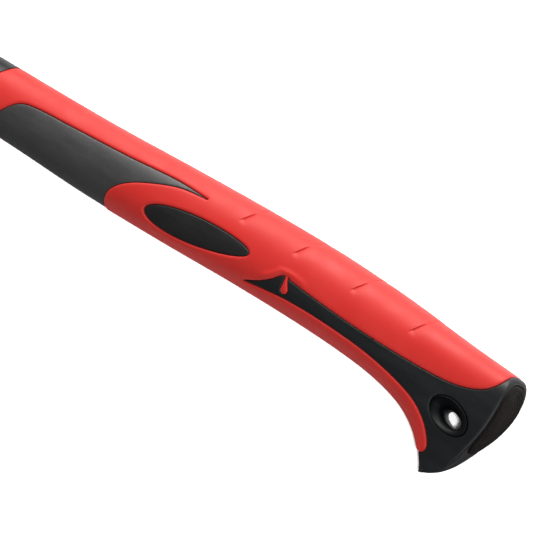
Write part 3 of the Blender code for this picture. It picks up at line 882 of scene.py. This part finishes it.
class Finish:
    """A principled material whose nodes are added one by one."""

    def __init__(self, name, colour, roughness, **sockets):
        self.material = bpy.data.materials.new(name)
        self.material.use_nodes = True
        self.tree = self.material.node_tree
        self.shader = self.tree.nodes["Principled BSDF"]
        self.shader.inputs["Base Color"].default_value = (*colour, 1.0)
        self.shader.inputs["Roughness"].default_value = roughness
        for socket, value in sockets.items():
            self.shader.inputs[socket.replace("_", " ")].default_value = value
        self.place = self.node("ShaderNodeTexCoord").outputs["Object"]
        self.normal = None

    def node(self, kind):
        return self.tree.nodes.new(kind)

    def link(self, source, target):
        self.tree.links.new(source, target)

    def texture(self, kind, size, stretch):
        """A texture node, with features about size metres across that are drawn out by stretch."""
        mapping = self.node("ShaderNodeMapping")
        mapping.inputs["Scale"].default_value = stretch
        self.link(self.place, mapping.inputs["Vector"])
        texture = self.node(kind)
        texture.inputs["Scale"].default_value = 1.0 / size
        self.link(mapping.outputs["Vector"], texture.inputs["Vector"])
        return texture

    def noise(self, size, detail=3.0, roughness=0.55, stretch=(1.0, 1.0, 1.0)):
        noise = self.texture("ShaderNodeTexNoise", size, stretch)
        noise.inputs["Detail"].default_value = detail
        noise.inputs["Roughness"].default_value = roughness
        return noise.outputs["Fac"]

    def cells(self, size, stretch=(1.0, 1.0, 1.0)):
        return self.texture("ShaderNodeTexVoronoi", size, stretch).outputs["Distance"]

    def ranged(self, value, *limits):
        return map_range(self.tree, value, *limits)

    def added(self, value, amount):
        node = self.node("ShaderNodeMath")
        node.inputs[1].default_value = amount
        self.link(value, node.inputs[0])
        return node.outputs["Value"]

    def mixed(self, share, a, b):
        """Colour a turning into colour b by share."""
        mix = self.node("ShaderNodeMix")
        mix.data_type = "RGBA"
        self.link(share, mix.inputs["Factor"])
        for socket, value in ((mix.inputs[6], a), (mix.inputs[7], b)):
            if isinstance(value, tuple):
                socket.default_value = (*value, 1.0)
            else:
                self.link(value, socket)
        return mix.outputs[2]

    def colour(self, value):
        self.link(value, self.shader.inputs["Base Color"])

    def rough(self, value):
        self.link(value, self.shader.inputs["Roughness"])

    def bump(self, height, distance, strength):
        """Adds relief to the surface, on top of any it has."""
        bump = self.node("ShaderNodeBump")
        bump.inputs["Distance"].default_value = distance
        bump.inputs["Strength"].default_value = strength
        self.link(height, bump.inputs["Height"])
        if self.normal:
            self.link(self.normal, bump.inputs["Normal"])
        self.normal = bump.outputs["Normal"]
        self.link(self.normal, self.shader.inputs["Normal"])


def tinted(colour, factor):
    """The colour made darker or paler by a factor."""
    return tuple(min(1.0, part * factor) for part in colour)


def soft_red():
    """Matt soft-touch rubber, with a fine eroded grain, faint mottling and lighter rubbed spots."""
    settings = bpy.context.scene.hammer_finish
    colour = tuple(settings.sleeve_colour)
    finish = Finish("soft_touch_red", colour, settings.sleeve_roughness, Specular_IOR_Level=0.34)
    mottle = finish.mixed(finish.noise(0.035, 4.0), tinted(colour, 0.9), tinted(colour, 1.08))
    rubbed = finish.ranged(finish.noise(0.006, 6.0, 0.7), 0.62, 0.8, 0.0, 0.35)
    paler = tinted((colour[0], colour[1] * 2.2, colour[2] * 2.0), 1.05)
    finish.colour(finish.mixed(rubbed, mottle, paler))
    spread = finish.ranged(finish.noise(0.012, 5.0), 0.3, 0.7, -0.06, 0.07)
    finish.rough(finish.added(spread, settings.sleeve_roughness))
    finish.bump(finish.noise(0.02, 2.0), 0.00012, 0.5)
    finish.bump(finish.noise(settings.grain_size, 2.0), 0.00005, 0.6)
    return finish.material


def soft_black(name, colour, gloss):
    """Satin rubber of the neck panel and, darker, of the thumb pads."""
    settings = bpy.context.scene.hammer_finish
    finish = Finish(name, colour, 0.42, Specular_IOR_Level=gloss)
    finish.colour(finish.mixed(finish.noise(0.02, 4.0), tinted(colour, 0.8), tinted(colour, 1.25)))
    scuffs = finish.noise(0.004, 5.0, 0.7, (0.25, 1.0, 1.0))
    finish.rough(finish.ranged(scuffs, 0.3, 0.75, 0.36, 0.52))
    finish.bump(finish.cells(settings.grain_size * 1.6), 0.00004, 0.5)
    return finish.material


def end_black():
    """Matt, slightly brown rubber of the end plate."""
    finish = Finish("matt_end_black", (0.009, 0.006, 0.006), 0.6, Specular_IOR_Level=0.1)
    finish.colour(finish.mixed(finish.noise(0.008, 5.0), (0.006, 0.004, 0.004), (0.013, 0.008, 0.008)))
    finish.rough(finish.ranged(finish.noise(0.003, 5.0, 0.7), 0.3, 0.7, 0.48, 0.68))
    finish.bump(finish.cells(0.0007), 0.00005, 0.6)
    return finish.material


@functools.cache
def hard_black():
    """Satin hard plastic, spark-eroded grain, with faint flow marks along the handle."""
    settings = bpy.context.scene.hammer_finish
    colour = tuple(settings.butt_colour)
    finish = Finish("satin_hard_black", colour, 0.34, Specular_IOR_Level=0.42)
    finish.colour(finish.mixed(finish.noise(0.03, 4.0), tinted(colour, 0.75), tinted(colour, 1.3)))
    flow = finish.noise(0.006, 4.0, 0.6, (0.2, 1.0, 1.0))
    finish.rough(finish.ranged(flow, 0.3, 0.72, 0.28, 0.44))
    finish.bump(finish.noise(settings.grain_size * 1.3, 3.0), 0.00005, 0.5)
    return finish.material


def painted_shade_bush_black():
    """Matt black plastic of the lanyard bush, made darker than the butt by painted shade for the inside of
    the hole.
    """
    settings = bpy.context.scene.hammer_finish
    # 0.6 of the butt's colour: the plastic's own black, darkened further as painted shade in the bore
    colour = tinted(tuple(settings.butt_colour), 0.6)
    finish = Finish("matt_bush_black", colour, 0.4, Specular_IOR_Level=0.14)
    finish.rough(finish.ranged(finish.noise(0.004, 4.0), 0.3, 0.72, 0.34, 0.48))
    finish.bump(finish.noise(settings.grain_size * 1.3, 3.0), 0.00005, 0.5)
    return finish.material


def lacquered_steel():
    """Fine-ground forged steel under clear lacquer, brushed along the head."""
    settings = bpy.context.scene.hammer_finish
    colour = tuple(settings.steel_colour)
    finish = Finish("lacquered_steel", colour, 0.3, Metallic=1.0, Coat_Weight=0.35, Coat_Roughness=0.12)
    brushed = finish.noise(0.0012, 4.0, 0.6, (1.0, 0.06, 1.0))
    cloudy = finish.noise(0.018, 4.0)
    lines = finish.ranged(brushed, 0.3, 0.7, 0.0, 1.0)
    ground = finish.mixed(lines, tinted(colour, 0.82), tinted(colour, 1.12))
    finish.colour(finish.mixed(finish.ranged(cloudy, 0.55, 0.8, 0.0, 0.5), ground, tinted(colour, 0.7)))
    finish.rough(finish.ranged(brushed, 0.25, 0.75, 0.3, 0.48))
    finish.bump(brushed, 0.00003, 0.5)
    finish.bump(finish.noise(0.009, 2.0), 0.0001, 0.25)
    return finish.material


def cast_resin():
    """Nearly black epoxy, glossy, with small bubbles."""
    finish = Finish("cast_resin", (0.03, 0.026, 0.022), 0.14, Coat_Weight=0.3)
    bubbles = finish.ranged(finish.cells(0.0011), 0.1, 0.22, 0.0, 1.0)
    finish.colour(finish.mixed(finish.noise(0.003), (0.018, 0.016, 0.014), (0.055, 0.045, 0.034)))
    finish.rough(finish.ranged(finish.noise(0.002, 4.0), 0.3, 0.7, 0.1, 0.24))
    finish.bump(bubbles, 0.0001, 0.5)
    return finish.material


def glass_fibre():
    """Pultruded glass fibre: yellowish resin with the cut ends of the strands in it."""
    finish = Finish("pultruded_glass", (0.72, 0.63, 0.36), 0.4)
    strands = finish.ranged(finish.cells(0.0007, stretch=(0.04, 1.0, 1.0)), 0.1, 0.6, 0.0, 1.0)
    body = finish.mixed(strands, (0.80, 0.74, 0.52), (0.46, 0.37, 0.17))
    patches = finish.ranged(finish.noise(0.004), 0.4, 0.7, 0.0, 0.6)
    finish.colour(finish.mixed(patches, body, (0.62, 0.5, 0.22)))
    finish.rough(finish.ranged(strands, 0.0, 1.0, 0.3, 0.55))
    finish.bump(strands, 0.00006, 0.6)
    return finish.material


def studio_floor():
    """Plain pale floor, very faintly uneven."""
    tone = bpy.context.scene.hammer_studio.floor_tone
    even = (tone, tone, tone)
    finish = Finish("pale_floor", even, 0.6)
    finish.colour(finish.mixed(finish.noise(0.4), even, (tone * 0.985, tone * 0.985, tone * 0.98)))
    return finish.material


# Studio


def add_softbox(name, power, size, place_mm, tint):
    """A rectangular light that looks at the handle."""
    light = bpy.data.lights.new(name, "AREA")
    light.shape = "RECTANGLE"
    light.size, light.size_y = size
    light.energy = power
    light.color = tint
    at, target = ORIGIN + Vector(place_mm) * MM, ORIGIN + Vector(LIGHT_TARGET) * MM
    turn = (target - at).to_track_quat("-Z", "Y")
    add_object(name, light).matrix_world = Matrix.Translation(at) @ turn.to_matrix().to_4x4()


def add_floor_light(strength):
    """A light along the camera's line that the floor alone takes, which keeps it white."""
    light = bpy.data.lights.new("floor_light", "SUN")
    light.energy = strength
    light.angle = FLOOR_LIGHT_SPREAD
    lamp = add_object("floor_light", light)
    lamp.matrix_world = Matrix.Rotation(VIEW_TURN, 4, "Y")
    lit = bpy.data.collections.new("lit_by_floor_light")
    lit.objects.link(bpy.data.objects["floor"])
    lamp.light_linking.receiver_collection = lit


def add_camera():
    """The camera looks down on the handle's left side, turned towards the butt and rolled."""
    turned = Matrix.Rotation(VIEW_TURN, 4, "Y") @ Matrix.Rotation(VIEW_ROLL, 4, "Z")
    target = Matrix.Translation(ORIGIN + Vector(VIEW_TARGET) * MM)
    data = bpy.data.cameras.new("studio_camera")
    data.lens = VIEW_LENS
    data.sensor_width = VIEW_SENSOR
    data.clip_start, data.clip_end = VIEW_CLIP
    camera = add_object("studio_camera", data)
    camera.matrix_world = target @ turned @ Matrix.Translation((0, 0, VIEW_DISTANCE * MM))
    bpy.context.scene.camera = camera


def add_floor():
    """The plain floor, which the pieces don't mirror."""
    bm = bmesh.new()
    bmesh.ops.create_grid(bm, x_segments=8, y_segments=8, size=FLOOR_HALF)
    bmesh.ops.translate(bm, verts=bm.verts, vec=(0, 0, CAD_BOX[0][2]))
    mesh = bpy.data.meshes.new("floor")
    bm.to_mesh(mesh)
    bm.free()
    mesh.materials.append(studio_floor())
    floor = add_object("floor", mesh)
    floor.visible_glossy = False


def add_world(dim, pale):
    """Even light all round that turns paler towards the handle's back."""
    world = bpy.data.worlds.new("studio_world")
    world.use_nodes = True
    tree = world.node_tree
    shade = tree.nodes["Background"]
    shade.inputs["Color"].default_value = (1.0, 1.0, 1.0, 1.0)
    way = tree.nodes.new("ShaderNodeTexCoord")
    parts = tree.nodes.new("ShaderNodeSeparateXYZ")
    tree.links.new(way.outputs["Generated"], parts.inputs["Vector"])
    ranged = map_range(tree, parts.outputs["Y"], *BACK_LIGHT_RANGE, dim, pale)
    tree.links.new(ranged, shade.inputs["Strength"])
    bpy.context.scene.world = world


# Settings


LENGTH = {"unit": "LENGTH", "precision": 5}
SHARE = {"subtype": "FACTOR", "max": 1.0}
POWER = {"unit": "POWER"}


def setting(name, description, default, kind):
    return bpy.props.FloatProperty(name=name, description=description, default=default, min=0.0, **kind)


def colour_setting(part, default):
    title, description = f"{part.capitalize()} colour", f"Colour of the {part}"
    return bpy.props.FloatVectorProperty(
        name=title, description=description, subtype="COLOR", size=3, min=0.0, max=1.0, default=default
    )


class HammerShapeSettings(bpy.types.PropertyGroup):
    """Sizes of the moulded handle's details."""

    wall: setting("Wall", "Thickness of the moulded skins", 1.5 * MM, LENGTH)
    groove_depth: setting("Groove depth", "Depth of the slanted grooves in the back", 0.6 * MM, LENGTH)
    ridge_height: setting("Ridge height", "Height of the ridge over the wedge's nose", 0.35 * MM, LENGTH)


class HammerFinishSettings(bpy.types.PropertyGroup):
    """Colours and finishes of the hammer."""

    sleeve_colour: colour_setting("soft sleeve", (0.5, 0.018, 0.014))
    panel_colour: colour_setting("neck panel", (0.02, 0.02, 0.021))
    pad_colour: colour_setting("thumb pads", (0.006, 0.006, 0.007))
    butt_colour: colour_setting("hard butt and core", (0.005, 0.006, 0.007))
    steel_colour: colour_setting("forged head", (0.3, 0.31, 0.33))
    sleeve_roughness: setting("Sleeve roughness", "How matt the sleeve is", 0.46, SHARE)
    grain_size: setting("Grain size", "Size of the moulded grain", 0.45 * MM, LENGTH)


class HammerStudioSettings(bpy.types.PropertyGroup):
    """Floor and lights of the studio."""

    floor_tone: setting("Floor tone", "How pale the floor is", 0.94, SHARE)
    floor_light: setting("Floor light", "Strength of the light on the floor alone", 3.2, {})
    key_power: setting("Key light", "Power of the softbox behind the handle's back", 11.5, POWER)
    fill_power: setting("Fill light", "Power of the softbox above the butt", 4.8, POWER)
    world_strength: setting("Room light", "Strength of the even light all round", 0.18, {})
    back_strength: setting("Back light", "Strength of it beyond the handle's back", 1.5, {})


# Operators


class HAMMER_OT_studio(bpy.types.Operator):
    """Add the floor, the soft lights and the camera"""

    bl_idname = "hammer.studio"
    bl_label = "Studio"

    def execute(self, context):
        settings = context.scene.hammer_studio
        context.scene.view_settings.view_transform = "Standard"
        add_floor()
        add_world(settings.world_strength, settings.back_strength)
        add_softbox("key_softbox", settings.key_power, *KEY_LIGHT)
        add_softbox("front_fill", settings.fill_power, *FILL_LIGHT)
        add_floor_light(settings.floor_light)
        add_camera()
        return {"FINISHED"}


class HAMMER_OT_sleeve(bpy.types.Operator):
    """Add the soft red sleeve, with its windows and the slanted grooves in its back"""

    bl_idname = "hammer.sleeve"
    bl_label = "Grip sleeve"

    def execute(self, context):
        bm = cut_skin(in_sleeve, SLEEVE_SKIN, sleeve_relief, GROOVES)
        place("grip_sleeve_skin", bm, soft_red(), "soft_red", "grip_sleeve")
        return {"FINISHED"}


class HAMMER_OT_soft_inserts(bpy.types.Operator):
    """Add the soft black neck panel and the thumb pad on each side"""

    bl_idname = "hammer.soft_inserts"
    bl_label = "Neck panel and thumb pads"

    def execute(self, context):
        settings = context.scene.hammer_finish
        satin = soft_black("satin_rubber_panel", tuple(settings.panel_colour), 0.9)
        place("neck_panel_skin", cut_skin(in_panel, PANEL_SKIN), satin, "soft_black", "neck_panel")
        satin = soft_black("satin_rubber_pads", tuple(settings.pad_colour), 0.45)
        for side, name in ((1, "left"), (-1, "right")):
            bm = cut_skin(in_pad, PAD_SKIN)
            gone = [face for face in bm.faces if face.calc_center_median().z * side < 0]
            bmesh.ops.delete(bm, geom=gone, context="FACES")
            place(f"thumb_pad_skin_{name}", bm, satin, "soft_black", f"thumb_pad_{name}")
        return {"FINISHED"}


class HAMMER_OT_butt(bpy.types.Operator):
    """Add the hard butt with its wedges, the bush of the lanyard hole and the end plate"""

    bl_idname = "hammer.butt"
    bl_label = "Butt"

    def execute(self, context):
        bm = cut_skin(in_cap, CAP_SKIN, toe_relief)
        place("butt_cap_shell", bm, hard_black(), "hard_black", "butt_cap")
        make_eyelet(painted_shade_bush_black())
        make_plate(end_black())
        return {"FINISHED"}


class HAMMER_OT_core(bpy.types.Operator):
    """Add the core moulding that shows at the neck, and the rod inside it"""

    bl_idname = "hammer.core"
    bl_label = "Core and rod"

    def execute(self, context):
        make_jacket(hard_black())
        make_rod(glass_fibre())
        return {"FINISHED"}


class HAMMER_OT_head(bpy.types.Operator):
    """Add the forged head and the resin in its eye"""

    bl_idname = "hammer.head"
    bl_label = "Head"

    def execute(self, context):
        make_head(lacquered_steel())
        make_resin(cast_resin())
        return {"FINISHED"}


OPERATORS = (
    HAMMER_OT_studio,
    HAMMER_OT_sleeve,
    HAMMER_OT_soft_inserts,
    HAMMER_OT_butt,
    HAMMER_OT_core,
    HAMMER_OT_head,
)


class HAMMER_PT_pieces(bpy.types.Panel):
    """Lists the hammer's pieces and settings"""

    bl_label = "Claw hammer"
    bl_space_type = "VIEW_3D"
    bl_region_type = "UI"
    bl_category = "Hammer"

    def draw(self, context):
        scene = context.scene
        for settings in (scene.hammer_shape, scene.hammer_finish, scene.hammer_studio):
            box = self.layout.box()
            for name in settings.__annotations__:
                box.prop(settings, name)
        for operator in OPERATORS:
            self.layout.operator(operator.bl_idname)


SETTINGS = {
    "hammer_shape": HammerShapeSettings,
    "hammer_finish": HammerFinishSettings,
    "hammer_studio": HammerStudioSettings,
}
CLASSES = (*SETTINGS.values(), *OPERATORS, HAMMER_PT_pieces)


def register():
    for cls in CLASSES:
        bpy.utils.register_class(cls)
    for name, settings in SETTINGS.items():
        setattr(bpy.types.Scene, name, bpy.props.PointerProperty(type=settings))


def unregister():
    for name in SETTINGS:
        delattr(bpy.types.Scene, name)
    for cls in reversed(CLASSES):
        bpy.utils.unregister_class(cls)


def main():
    register()
    bpy.ops.hammer.studio()
    bpy.ops.hammer.sleeve()
    bpy.ops.hammer.soft_inserts()
    bpy.ops.hammer.butt()
    bpy.ops.hammer.core()
    bpy.ops.hammer.head()


if __name__ == "__main__":
    main()
